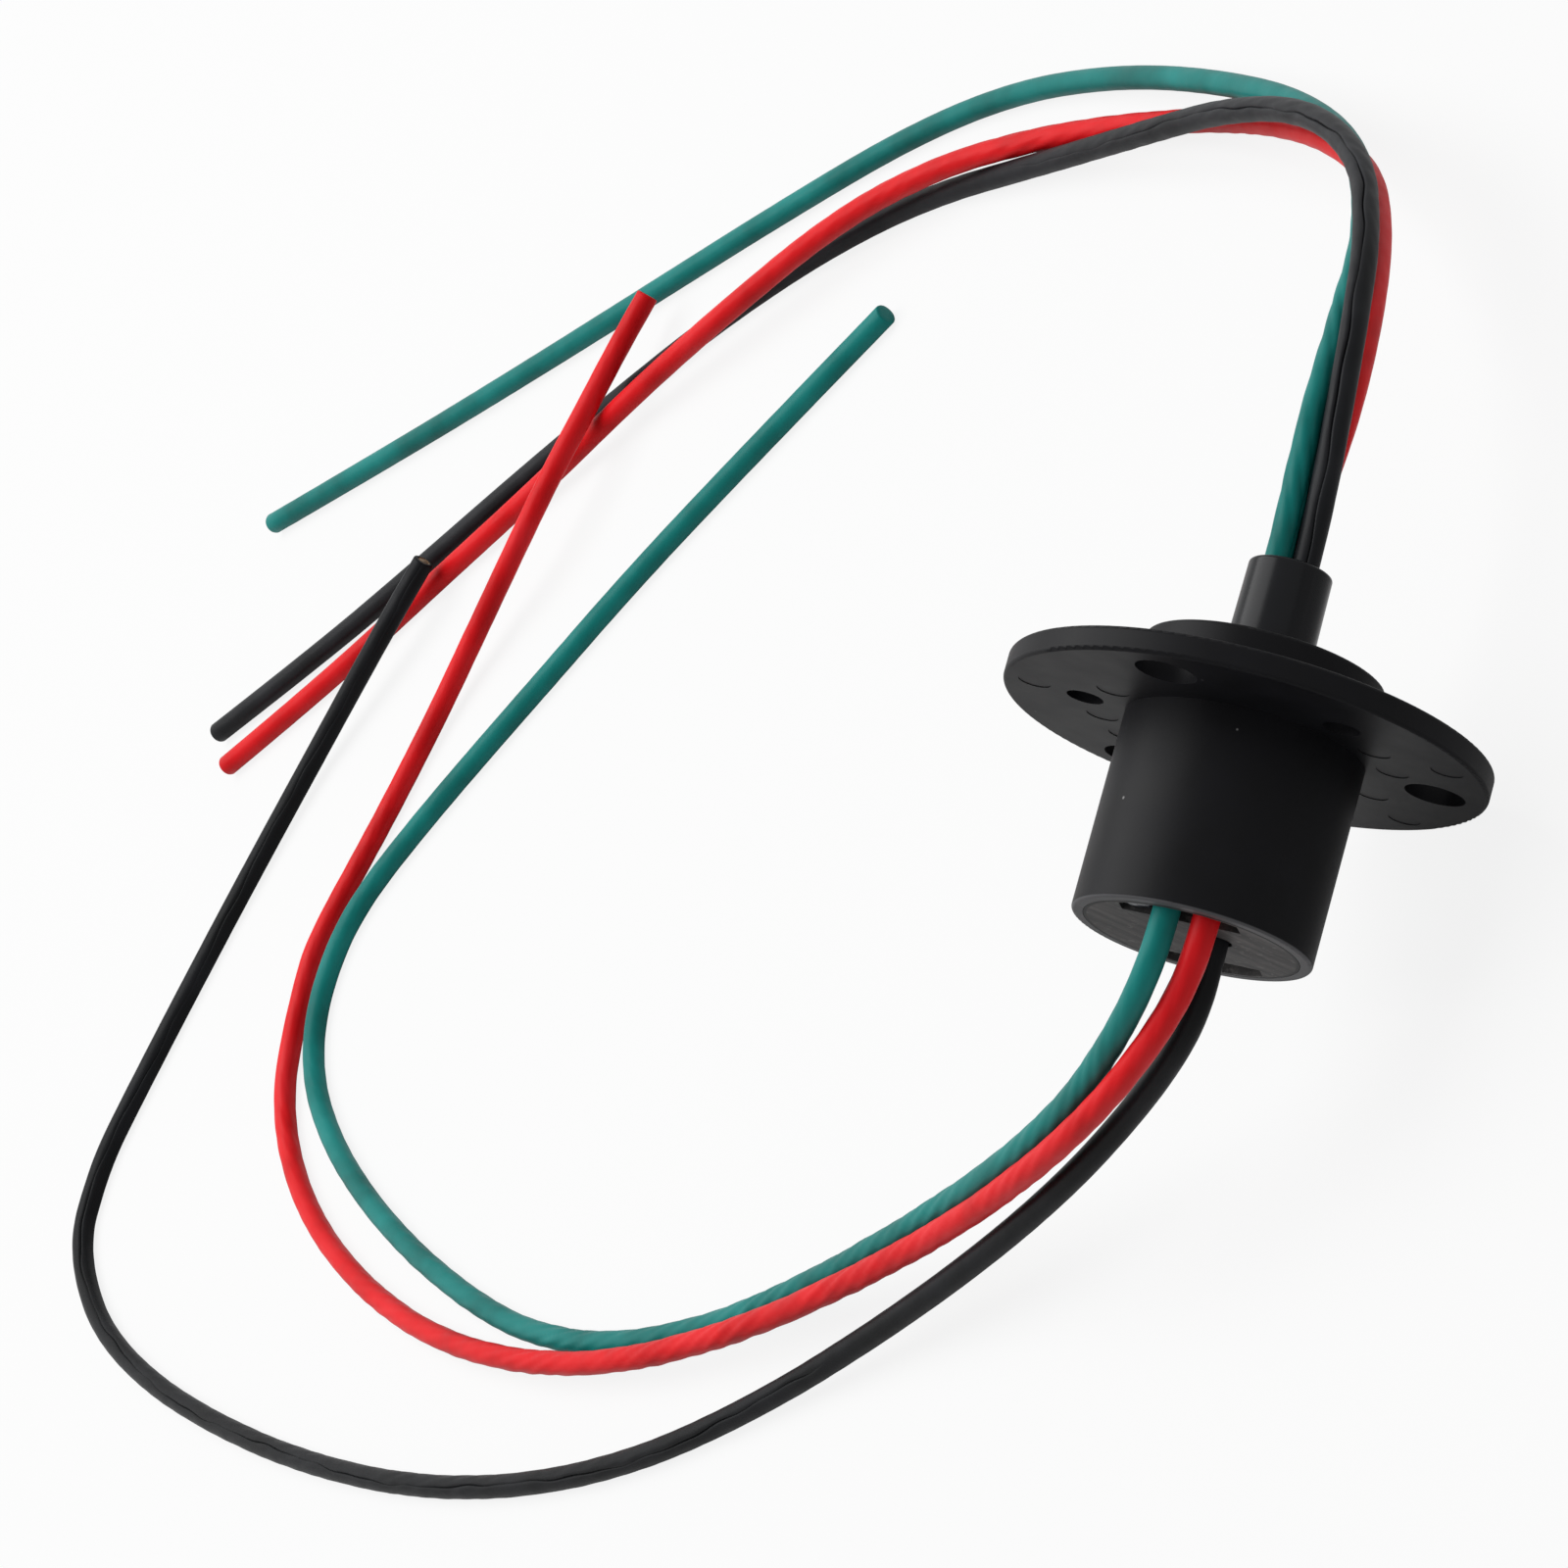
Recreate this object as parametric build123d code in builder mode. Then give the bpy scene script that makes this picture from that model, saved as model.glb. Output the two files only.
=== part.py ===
from build123d import *
import math
import os

os.makedirs("parts", exist_ok=True)

# Frame: +Y along the rotor axis towards the stub, +Z up, origin on the flange's seating face.
# Housing: a moulded tube with a mounting flange round it
flange_diameter = 44.5
flange_thickness = 2.3
housing_diameter = 22.0
body_length = 18.7
nose_length = 5.1
nose_lip = 1.0
lip_clearance = 0.6
front_wall_y = 1.2
rear_wall = 1.1
bore_step = 0.4
moulded_edge = 0.35

# Flange holes: two sets of three, turned half a step from each other
hole_count = 3
large_hole_diameter = 5.6
large_hole_inset = 4.75
large_hole_angle = 60.0
small_hole_diameter = 3.4
small_hole_offset = 3.7

# Shallow ejector-pin marks on the seating face: radius and angle of each
pin_mark_diameter = 3.0
pin_mark_depth = 0.06
pin_marks = [(19.4, 118.5), (13.4, 99.6), (13.4, 138.4), (13.4, 160.0),
             (13.6, -23.0), (13.6, -45.0), (13.6, -84.0), (19.4, -34.0), (19.4, -94.0)]

# Bearings: bore, outside diameter, width, ball size and number
front_bearing_bore = 8.0
front_bearing_outside = 12.0
front_bearing_width = 3.5
front_ball_diameter = 1.4
front_ball_count = 9
rear_bearing_bore = 5.0
rear_bearing_outside = 9.0
rear_bearing_width = 3.0
rear_ball_diameter = 1.2
rear_ball_count = 7
race_share = 0.30
ball_clearance = 0.03
fit_clearance = 0.02

# Rotor: stub, lead socket, ring stack and rear journal
stub_length = 9.1
stub_end_diameter = 7.7
socket_diameter = 5.7
socket_depth = 4.4
core_share = 0.625
stack_front_y = 0.9
ring_count = 3
ring_step = 0.7
groove_depth = 0.3
groove_width = 0.9
barrier_thickness = 0.8
barrier_gap = 0.6
bearing_shoulder = 0.5
rear_spacer_length = 1.6
journal_end = 0.2

# Rear carrier, end cap and their two lead windows
carrier_floor = 0.8
carrier_floor_hole = 6.4
cap_thickness = 1.5
cap_hollow = 2.9
cap_clearance = 0.05
cap_skirt = 0.6
window_angle = 45.0
window_rim = 0.45
window_share = 0.37
window_length = 10.8
centre_lead_hole = 3.1
centre_lead_place = (2.6, -0.8)

# Brush blocks and brushes
block_thickness = 1.4
block_width_share = 0.463
block_clearance = 0.11
block_front_gap = 0.6
brush_wire = 0.5
brush_leg_spread = 3.0
brush_leg_end = 0.8
brush_knee = 0.4
brush_bow = 3.0
brush_bend = 0.6
brush_gap = 0.06
brush_groove_seat = 1.2
brush_hole_clearance = 0.07

# Leads: one diameter, six routes
lead_diameter = 2.5
lead_start = 2.8
lead_straight = 1.5
lead_bend_share = 0.45
green_exit_along = 1.06
red_exit_along = -2.47
red_exit_inset = 0.5

large_hole_circle = flange_diameter - 2 * large_hole_inset
small_hole_circle = housing_diameter + 2 * small_hole_offset
rear_bore_diameter = housing_diameter - 2 * rear_wall
deep_bore_diameter = rear_bore_diameter - 2 * bore_step
cap_radius = rear_bore_diameter / 2 - cap_clearance
window_reach = cap_radius - window_rim
window_near = window_reach - window_share * cap_radius
block_width = block_width_share * deep_bore_diameter
block_corner = deep_bore_diameter / 2 - block_clearance
block_near = math.sqrt(block_corner ** 2 - block_width ** 2 / 4) - block_thickness
barrier_diameter = 2 * (block_near - barrier_gap)
ring_diameter = barrier_diameter - 2 * ring_step
core_diameter = core_share * ring_diameter

nose_y = flange_thickness + nose_length
stub_end_y = nose_y + stub_length
front_bearing_y = nose_y - nose_lip - front_bearing_width
cap_front_y = -body_length + cap_thickness
carrier_rear_y = cap_front_y + cap_hollow
rear_bearing_y = carrier_rear_y + carrier_floor
carrier_front_y = rear_bearing_y + rear_bearing_width
stack_rear_y = carrier_front_y + rear_spacer_length
ring_width = (stack_front_y - stack_rear_y - (ring_count + 1) * barrier_thickness) / ring_count
ring_pitch = ring_width + barrier_thickness
block_rear_y = carrier_rear_y


def finish(piece, name):
    piece.part.label = name
    export_step(piece.part, f"parts/{name}.step")


def turn(points, rounded=(), radius=0.0):
    # Turn a profile about the rotor axis, from points of radius and height along Y
    with BuildSketch(Plane.XY) as profile:
        with BuildLine():
            Polyline(*points, close=True)
        make_face()
        if rounded:
            near = [v for v in profile.vertices() if any(abs(v.X - x) + abs(v.Y - y) < 1e-4 for x, y in rounded)]
            fillet(near, radius=radius)
    revolve(profile.sketch, axis=Axis.Y)


def across(angle, along, out, y):
    # A point beside the axis: out along the window direction, along its chord, at height y
    a = math.radians(angle)
    return (out * math.cos(a) - along * math.sin(a), y, out * math.sin(a) + along * math.cos(a))


def tube(points, radii, diameter):
    # A round wire along straight runs joined by tangent arcs
    with BuildPart() as piece:
        with BuildLine() as route:
            FilletPolyline(*points, radius=radii)
        with BuildSketch(Plane(origin=points[0], z_dir=Vector(*points[1]) - Vector(*points[0]))):
            Circle(diameter / 2)
        sweep(path=route.wire())
    return piece, route.wire().length


# Housing
housing_radius = housing_diameter / 2
flange_radius = flange_diameter / 2
lip_radius = front_bearing_bore / 2 + lip_clearance
seat_radius = front_bearing_outside / 2 + fit_clearance
housing_outline = [
    (rear_bore_diameter / 2, -body_length),
    (housing_radius, -body_length),
    (housing_radius, 0),
    (flange_radius, 0),
    (flange_radius, flange_thickness),
    (housing_radius, flange_thickness),
    (housing_radius, nose_y),
    (lip_radius, nose_y),
    (lip_radius, nose_y - nose_lip),
    (seat_radius, nose_y - nose_lip),
    (seat_radius, front_wall_y),
    (deep_bore_diameter / 2, front_wall_y),
    (deep_bore_diameter / 2, carrier_front_y),
    (rear_bore_diameter / 2, carrier_front_y),
]
housing_edges = [housing_outline[1], housing_outline[3], housing_outline[4], housing_outline[6]]
with BuildPart() as housing:
    turn(housing_outline, housing_edges, moulded_edge)
    with BuildSketch(Plane.XZ):
        with PolarLocations(large_hole_circle / 2, hole_count, start_angle=large_hole_angle):
            Circle(large_hole_diameter / 2)
        with PolarLocations(small_hole_circle / 2, hole_count):
            Circle(small_hole_diameter / 2)
    extrude(amount=-flange_thickness, mode=Mode.SUBTRACT)
    with BuildSketch(Plane.XZ):
        for mark_radius, mark_angle in pin_marks:
            with PolarLocations(mark_radius, 1, start_angle=mark_angle):
                Circle(pin_mark_diameter / 2)
    extrude(amount=-pin_mark_depth, mode=Mode.SUBTRACT)
finish(housing, "housing")


def cut_windows(y, depth):
    # Two lead windows, each a slice between a chord and a circle, cut from y along +Y
    with BuildSketch(Plane.XZ.offset(-y)) as windows:
        with PolarLocations(window_near + window_reach / 2, 2, start_angle=window_angle):
            Rectangle(window_reach, window_length)
        Circle(window_reach, mode=Mode.INTERSECT)
    extrude(windows.sketch, amount=-depth, mode=Mode.SUBTRACT)


# End cap: a flush disc with a skirt that seats on the carrier
cap_outline = [
    (0, -body_length),
    (cap_radius, -body_length),
    (cap_radius, carrier_rear_y),
    (cap_radius - cap_skirt, carrier_rear_y),
    (cap_radius - cap_skirt, cap_front_y),
    (0, cap_front_y),
]
with BuildPart() as end_cap:
    turn(cap_outline)
    cut_windows(-body_length, cap_thickness)
    with BuildSketch(Plane.XZ.offset(body_length)):
        with Locations(centre_lead_place):
            Circle(centre_lead_hole / 2)
    extrude(amount=-cap_thickness, mode=Mode.SUBTRACT)
finish(end_cap, "end_cap")

# Rear carrier: holds the rear bearing and both brush blocks
rear_seat_radius = rear_bearing_outside / 2 + fit_clearance
carrier_outline = [
    (carrier_floor_hole / 2, carrier_rear_y),
    (cap_radius, carrier_rear_y),
    (cap_radius, carrier_front_y),
    (rear_seat_radius, carrier_front_y),
    (rear_seat_radius, rear_bearing_y),
    (carrier_floor_hole / 2, rear_bearing_y),
]
with BuildPart() as rear_carrier:
    turn(carrier_outline)
    cut_windows(carrier_rear_y, carrier_front_y - carrier_rear_y)
finish(rear_carrier, "rear_carrier")

# Rotor shaft: stub with its lead socket, bearing shoulder, ring core and rear journal
journal_radius = front_bearing_bore / 2 - fit_clearance
rear_journal_radius = rear_bearing_bore / 2 - fit_clearance
shoulder_radius = front_bearing_bore / 2 + bearing_shoulder
rotor_rear_y = rear_bearing_y - journal_end
shaft_outline = [
    (0, rotor_rear_y),
    (rear_journal_radius, rotor_rear_y),
    (rear_journal_radius, stack_rear_y),
    (core_diameter / 2, stack_rear_y),
    (core_diameter / 2, stack_front_y),
    (shoulder_radius, stack_front_y),
    (shoulder_radius, front_bearing_y),
    (journal_radius, front_bearing_y),
    (journal_radius, nose_y),
    (stub_end_diameter / 2, stub_end_y),
    (socket_diameter / 2, stub_end_y),
    (socket_diameter / 2, stub_end_y - socket_depth),
    (0, stub_end_y - socket_depth),
]
with BuildPart() as rotor_shaft:
    turn(shaft_outline, [shaft_outline[9]], moulded_edge)
finish(rotor_shaft, "rotor_shaft")

# Ring stack: insulating barriers with grooved brass rings between them
core_bore = core_diameter / 2 + fit_clearance
ring_radius = ring_diameter / 2
for number in range(ring_count + 1):
    top = stack_front_y - number * ring_pitch
    barrier_outline = [
        (core_bore, top - barrier_thickness),
        (barrier_diameter / 2, top - barrier_thickness),
        (barrier_diameter / 2, top),
        (core_bore, top),
    ]
    with BuildPart() as barrier:
        turn(barrier_outline)
    finish(barrier, f"barrier_disc_{number + 1}")

ring_places = [stack_front_y - barrier_thickness - ring_width / 2 - n * ring_pitch for n in range(ring_count)]
for number, middle in enumerate(ring_places):
    ring_outline = [
        (core_bore, middle - ring_width / 2),
        (ring_radius, middle - ring_width / 2),
        (ring_radius, middle - groove_width / 2),
        (ring_radius - groove_depth, middle),
        (ring_radius, middle + groove_width / 2),
        (ring_radius, middle + ring_width / 2),
        (core_bore, middle + ring_width / 2),
    ]
    with BuildPart() as ring:
        turn(ring_outline)
    finish(ring, f"contact_ring_{number + 1}")


def make_bearing(name, bore, outside, width, ball, count, y):
    # Inner ring, outer ring and balls, each race a round groove a little larger than its ball
    pitch = (bore + outside) / 4
    race = ball * race_share
    track = ball / 2 + ball_clearance
    spans = {
        "inner": (bore / 2, pitch - ball / 2 + race),
        "outer": (pitch + ball / 2 - race, outside / 2),
    }
    for side, (low, high) in spans.items():
        with BuildPart() as ring_piece:
            with BuildSketch(Plane.XY):
                with Locations(((low + high) / 2, y + width / 2)):
                    Rectangle(high - low, width)
                with Locations((pitch, y + width / 2)):
                    Circle(track, mode=Mode.SUBTRACT)
            revolve(axis=Axis.Y)
        finish(ring_piece, f"{name}_bearing_{side}")
    with BuildPart() as balls:
        with Locations(Plane.XZ.offset(-y - width / 2)):
            with PolarLocations(pitch, count):
                Sphere(ball / 2)
    finish(balls, f"{name}_bearing_balls")


make_bearing("front", front_bearing_bore, front_bearing_outside, front_bearing_width,
             front_ball_diameter, front_ball_count, front_bearing_y)
make_bearing("rear", rear_bearing_bore, rear_bearing_outside, rear_bearing_width,
             rear_ball_diameter, rear_ball_count, rear_bearing_y)

# Spacer that holds the ring stack off the rear bearing's inner ring
spacer_radius = rear_bearing_bore / 2 + bearing_shoulder
spacer_outline = [
    (rear_bearing_bore / 2, carrier_front_y),
    (spacer_radius, carrier_front_y),
    (spacer_radius, stack_rear_y),
    (rear_bearing_bore / 2, stack_rear_y),
]
with BuildPart() as rear_spacer:
    turn(spacer_outline)
finish(rear_spacer, "rear_spacer")

# Brush blocks, one behind each window, with a bowed brush on every ring
block_front_y = front_wall_y - block_front_gap
block_length = block_front_y - block_rear_y
bow_rise = brush_bow * (1 / math.cos(math.atan2(block_near - brush_knee - ring_radius, brush_leg_spread)) - 1)
brush_touch = ring_radius - groove_depth + brush_wire / 2 * brush_groove_seat + brush_gap - bow_rise
for name, angle in (("upper", window_angle), ("lower", window_angle + 180)):
    out_dir = Vector(*across(angle, 0, 1, 0))
    face = Plane(origin=across(angle, 0, block_near, (block_front_y + block_rear_y) / 2),
                 x_dir=(0, 1, 0), z_dir=out_dir)
    with BuildPart() as block:
        with BuildSketch(face):
            Rectangle(block_length, block_width)
        extrude(amount=block_thickness)
        with BuildSketch(face):
            for middle in ring_places:
                for side in (-1, 1):
                    with Locations((middle - face.origin.Y, side * brush_leg_spread)):
                        Circle(brush_wire / 2 + brush_hole_clearance)
        extrude(amount=block_thickness, mode=Mode.SUBTRACT)
    finish(block, f"brush_block_{name}")
    for number, middle in enumerate(ring_places):
        knee = block_near - brush_knee
        brush_points = [
            across(angle, -brush_leg_spread, block_near + brush_leg_end, middle),
            across(angle, -brush_leg_spread, knee, middle),
            across(angle, 0, brush_touch, middle),
            across(angle, brush_leg_spread, knee, middle),
            across(angle, brush_leg_spread, block_near + brush_leg_end, middle),
        ]
        brush, _ = tube(brush_points, [brush_bend, brush_bow, brush_bend], brush_wire)
        finish(brush, f"brush_{name}_{number + 1}")

# Lead routes: out of the stub or the end cap, down to the bench that the flange rim touches, and along it
lead_seat = (window_near + window_reach) / 2
lead_start_y = -body_length + lead_start
lead_leave_y = -body_length - lead_straight
red_seat = lead_seat - red_exit_inset
centre_x, centre_z = centre_lead_place
lead_routes = {
    "rotor_lead_green": [
        (-0.3, 12.3, 1.4), (-0.3, 18.6, 1.4), (-2.6, 24.2, 0.8), (-6.4, 32.7, -1.4), (-11.3, 44.1, -5.0),
        (-16.9, 55.7, -8.5), (-26.8, 67.1, -11.9), (-44.6, 76.6, -15.2), (-67.9, 83.7, -18.2),
        (-89.7, 88.6, -20.2), (-110.4, 90.7, -21.0), (-130.9, 89.0, -21.0), (-156.6, 83.4, -21.0),
        (-183.3, 76.6, -21.0), (-209.3, 70.1, -21.0), (-234.7, 64.1, -21.0), (-260.0, 58.5, -21.0),
    ],
    "rotor_lead_black": [
        (1.4, 12.3, -0.5), (1.4, 18.6, -0.5), (0.9, 25.8, -0.4), (-0.7, 34.2, -1.0), (-3.4, 43.3, -2.2),
        (-7.8, 52.0, -4.0), (-18.1, 62.4, -6.8), (-34.6, 70.9, -10.2), (-54.7, 76.0, -13.6),
        (-76.5, 78.1, -16.8), (-99.4, 79.7, -19.6), (-123.2, 81.3, -21.0), (-141.8, 78.7, -21.0),
        (-160.6, 72.8, -21.0), (-179.3, 65.2, -21.0), (-199.4, 56.7, -21.0), (-217.9, 48.0, -21.0),
        (-237.1, 39.2, -21.0), (-257.0, 31.5, -21.0),
    ],
    "rotor_lead_red": [
        (-1.1, 12.3, -1.0), (-1.1, 18.6, -1.0), (-2.9, 25.4, -2.6), (-6.2, 35.3, -5.4), (-11.4, 46.1, -8.6),
        (-18.3, 56.8, -11.8), (-28.2, 66.4, -14.6), (-43.4, 73.8, -17.0), (-61.2, 79.0, -19.2),
        (-80.1, 82.6, -20.4), (-98.7, 84.4, -20.2), (-116.2, 82.9, -18.4), (-133.5, 77.8, -17.2),
        (-153.2, 69.5, -17.4), (-172.0, 62.5, -18.8), (-191.5, 54.6, -20.4), (-212.4, 44.7, -21.0),
        (-232.1, 34.9, -21.0), (-252.0, 26.3, -21.0),
    ],
    "stator_lead_green": [
        across(window_angle, green_exit_along, lead_seat, lead_start_y),
        across(window_angle, green_exit_along, lead_seat, lead_leave_y),
        (2.6, -24.3, 5.2), (-2.5, -28.1, 3.2), (-12.1, -32.2, -0.2),
        (-25.7, -35.4, -4.0), (-49.0, -38.0, -11.0), (-74.0, -41.9, -16.0), (-98.2, -45.7, -19.6),
        (-121.1, -47.4, -21.0), (-140.4, -45.8, -21.0), (-159.1, -41.2, -21.0), (-176.2, -34.8, -21.0),
        (-191.2, -27.0, -21.0), (-201.6, -19.4, -21.0), (-208.1, -13.0, -21.0), (-211.9, -7.1, -21.0),
        (-212.7, -2.0, -21.0), (-211.1, 2.6, -21.0), (-207.1, 7.2, -21.0), (-200.0, 12.6, -21.0),
        (-189.8, 19.7, -21.0), (-177.0, 28.9, -21.0), (-161.6, 40.7, -21.0), (-143.6, 54.2, -21.0),
        (-125.2, 67.4, -21.0),
    ],
    "stator_lead_red": [
        across(window_angle, red_exit_along, red_seat, lead_start_y),
        across(window_angle, red_exit_along, red_seat, lead_leave_y),
        (4.6, -23.8, 2.3), (-0.7, -27.2, 0.2), (-10.8, -31.4, -3.2),
        (-24.4, -35.8, -6.8), (-46.1, -39.8, -12.5), (-70.9, -44.0, -17.0), (-95.7, -47.9, -20.0),
        (-119.3, -50.5, -21.0), (-140.0, -50.2, -21.0), (-160.2, -46.8, -21.0), (-178.5, -40.4, -21.0),
        (-193.1, -32.7, -21.0), (-204.3, -24.8, -21.0), (-212.4, -17.5, -21.0), (-217.0, -11.2, -21.0),
        (-219.3, -5.0, -21.0), (-219.3, 0.2, -21.0), (-217.2, 5.1, -21.0), (-212.6, 11.5, -21.0),
        (-207.1, 19.5, -21.0), (-201.5, 28.4, -20.6), (-194.2, 37.1, -18.8), (-186.5, 44.7, -16.6),
        (-181.5, 53.1, -15.9), (-178.5, 61.5, -16.4), (-177.9, 69.6, -17.6), (-175.5, 75.5, -18.0),
    ],
    "stator_lead_black": [
        (centre_x, lead_start_y, centre_z), (centre_x, lead_leave_y, centre_z),
        (0.7, -23.9, -2.1), (-4.4, -27.0, -4.1), (-13.6, -31.0, -7.2),
        (-26.6, -36.7, -10.4), (-44.4, -42.3, -14.5), (-65.8, -48.1, -18.5), (-86.8, -54.4, -20.7),
        (-108.1, -60.2, -21.0), (-130.6, -63.2, -21.0), (-154.7, -63.7, -21.0), (-180.9, -61.1, -21.0),
        (-204.4, -56.7, -21.0), (-223.6, -51.2, -21.0), (-238.3, -45.1, -21.0), (-248.2, -39.1, -21.0),
        (-254.3, -33.5, -21.0), (-256.8, -28.1, -21.0), (-256.1, -23.1, -21.0), (-252.7, -17.4, -21.0),
        (-247.0, -6.2, -21.0), (-239.1, 9.7, -21.0), (-230.2, 23.9, -20.4), (-221.5, 32.9, -18.8),
        (-214.5, 40.1, -17.6), (-210.2, 46.5, -17.4),
    ],
}


def bend_radii(points):
    # Each arc as large as its two runs allow
    radii = []
    for before, here, after in zip(points, points[1:], points[2:]):
        run_in = Vector(*here) - Vector(*before)
        run_out = Vector(*after) - Vector(*here)
        turn = math.radians(run_in.get_angle(run_out))
        radii.append(lead_bend_share * min(run_in.length, run_out.length) / math.tan(turn / 2))
    return radii


for name, points in lead_routes.items():
    radii = bend_radii(points)
    lead, lead_length = tube(points, radii, lead_diameter)
    full_volume = math.pi * lead_diameter ** 2 / 4 * lead_length
    print(name, "length", round(lead_length, 1), "volume share", round(lead.part.volume / full_volume, 4),
          "radii", [round(r, 1) for r in radii])
    finish(lead, name)
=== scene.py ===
import bpy
import math
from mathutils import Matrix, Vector


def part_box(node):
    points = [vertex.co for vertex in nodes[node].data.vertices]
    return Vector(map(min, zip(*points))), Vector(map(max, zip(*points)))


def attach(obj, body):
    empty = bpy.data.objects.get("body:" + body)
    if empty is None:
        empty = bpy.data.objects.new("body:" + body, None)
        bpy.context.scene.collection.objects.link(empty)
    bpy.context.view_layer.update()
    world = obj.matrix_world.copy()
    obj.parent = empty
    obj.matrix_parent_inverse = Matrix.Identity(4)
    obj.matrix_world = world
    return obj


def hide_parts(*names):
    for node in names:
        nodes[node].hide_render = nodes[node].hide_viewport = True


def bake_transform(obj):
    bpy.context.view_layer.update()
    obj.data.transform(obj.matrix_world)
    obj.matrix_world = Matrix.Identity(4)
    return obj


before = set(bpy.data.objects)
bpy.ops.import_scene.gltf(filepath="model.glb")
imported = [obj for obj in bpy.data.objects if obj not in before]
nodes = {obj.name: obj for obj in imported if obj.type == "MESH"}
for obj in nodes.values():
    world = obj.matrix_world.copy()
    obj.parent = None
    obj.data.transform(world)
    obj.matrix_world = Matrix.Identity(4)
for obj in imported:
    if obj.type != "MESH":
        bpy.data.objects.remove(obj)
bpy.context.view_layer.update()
mm = 0.001
print("frame loaded,", len(nodes), "nodes")


def linear(hexColour):
    # sRGB hex to the linear colour that the shaders read
    channels = [int(hexColour[i:i + 2], 16) / 255 for i in (1, 3, 5)]
    return [c / 12.92 if c <= 0.04045 else ((c + 0.055) / 1.055) ** 2.4 for c in channels] + [1.0]


def perSize(millimetres):
    # pattern scale on Object coordinates for a feature of this size
    return 1 / (millimetres * mm)


def addNode(tree, kind, settings, inputs):
    node = tree.nodes.new(kind)
    for name, value in settings.items():
        setattr(node, name, value)
    for socket, value in inputs.items():
        if isinstance(value, bpy.types.NodeSocket):
            tree.links.new(value, node.inputs[socket])
        else:
            node.inputs[socket].default_value = value
    return node


def newMaterial(name):
    material = bpy.data.materials.new(name)
    material.use_nodes = True
    tree = material.node_tree
    return material, tree, tree.nodes["Principled BSDF"]


def wear(node, material):
    node.data.materials.clear()
    node.data.materials.append(material)


def sortRays(tree):
    # rays straight from the camera, and rays that met a shiny or clear surface first
    rays = addNode(tree, "ShaderNodeLightPath", {}, {})
    mirrored = addNode(tree, "ShaderNodeMath", {"operation": "MAXIMUM"},
                       {0: rays.outputs["Is Glossy Ray"], 1: rays.outputs["Is Transmission Ray"]})
    return rays.outputs["Is Camera Ray"], mirrored.outputs[0]


# camera at the photograph's viewing angle: millimetres and degrees
cameraSet = {"place": (533.7, -172.0, 335.3), "turn": (37.201, 54.249, 27.239),
             "lens": 168.75, "sensor": 36, "clipStart": 10}
bpy.ops.object.camera_add(location=[v * mm for v in cameraSet["place"]],
                          rotation=[math.radians(v) for v in cameraSet["turn"]])
camera = bpy.context.object
camera.data.lens = cameraSet["lens"]
camera.data.sensor_width = cameraSet["sensor"]
camera.data.clip_start = cameraSet["clipStart"] * mm
bpy.context.scene.camera = camera
print("camera set")

# pale floor, one soft overhead lamp and a dim white room
# the floor's height is in millimetres, the other sizes are in metres and the lamp in watts
stageSet = {"floorHeight": -22.27, "floorSize": 6.0, "floorColour": "#cccccc", "light": "#ffffff",
            "floorRoughness": 0.9, "floorSpecular": 0.1, "floorGlow": 0.86, "mirrorGlow": 0.2,
            "roomStrength": 0.3, "lampPower": 15.0, "lampSize": 1.1, "lampPlace": (-0.4, 0.1, 0.95)}
bpy.ops.mesh.primitive_plane_add(size=stageSet["floorSize"],
                                 location=(0, 0, stageSet["floorHeight"] * mm))
floor = bpy.context.object
floor.name = "floor"
# matt white paper, lifted towards pure white where it is seen, so that only a faint shadow is left
floorPaper, tree, shader = newMaterial("white paper sweep")
shader.inputs["Base Color"].default_value = linear(stageSet["floorColour"])
shader.inputs["Roughness"].default_value = stageSet["floorRoughness"]
shader.inputs["Specular IOR Level"].default_value = stageSet["floorSpecular"]
glow = addNode(tree, "ShaderNodeEmission", {}, {"Color": linear(stageSet["light"]), "Strength": 1.0})
direct, mirrored = sortRays(tree)
mirrorLift = addNode(tree, "ShaderNodeMath", {"operation": "MULTIPLY"},
                     {0: mirrored, 1: stageSet["mirrorGlow"]})
lift = addNode(tree, "ShaderNodeMath", {"operation": "MULTIPLY_ADD"},
               {0: direct, 1: stageSet["floorGlow"], 2: mirrorLift.outputs[0]})
paper = addNode(tree, "ShaderNodeMixShader", {},
                {0: lift.outputs[0], 1: shader.outputs[0], 2: glow.outputs[0]})
tree.links.new(paper.outputs[0], tree.nodes["Material Output"].inputs["Surface"])
wear(floor, floorPaper)

# the room lights the object dimly, and is white where it is seen or mirrored
room = bpy.data.worlds.new("studio")
bpy.context.scene.world = room
room.use_nodes = True
tree = room.node_tree
dim = tree.nodes["Background"]
dim.inputs["Color"].default_value = linear(stageSet["light"])
dim.inputs["Strength"].default_value = stageSet["roomStrength"]
white = addNode(tree, "ShaderNodeBackground", {}, {"Color": linear(stageSet["light"]), "Strength": 1.0})
direct, mirrored = sortRays(tree)
seen = addNode(tree, "ShaderNodeMath", {"operation": "MAXIMUM"}, {0: direct, 1: mirrored})
shown = addNode(tree, "ShaderNodeMixShader", {},
                {0: seen.outputs[0], 1: dim.outputs[0], 2: white.outputs[0]})
tree.links.new(shown.outputs[0], tree.nodes["World Output"].inputs["Surface"])

bpy.ops.object.light_add(type="AREA", location=stageSet["lampPlace"])
lamp = bpy.context.object
lamp.data.energy = stageSet["lampPower"]
lamp.data.size = stageSet["lampSize"]
lamp.rotation_euler = (-lamp.location).to_track_quat("-Z", "Y").to_euler()
bpy.context.scene.view_settings.view_transform = "Standard"
print("floor and light set")

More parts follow.
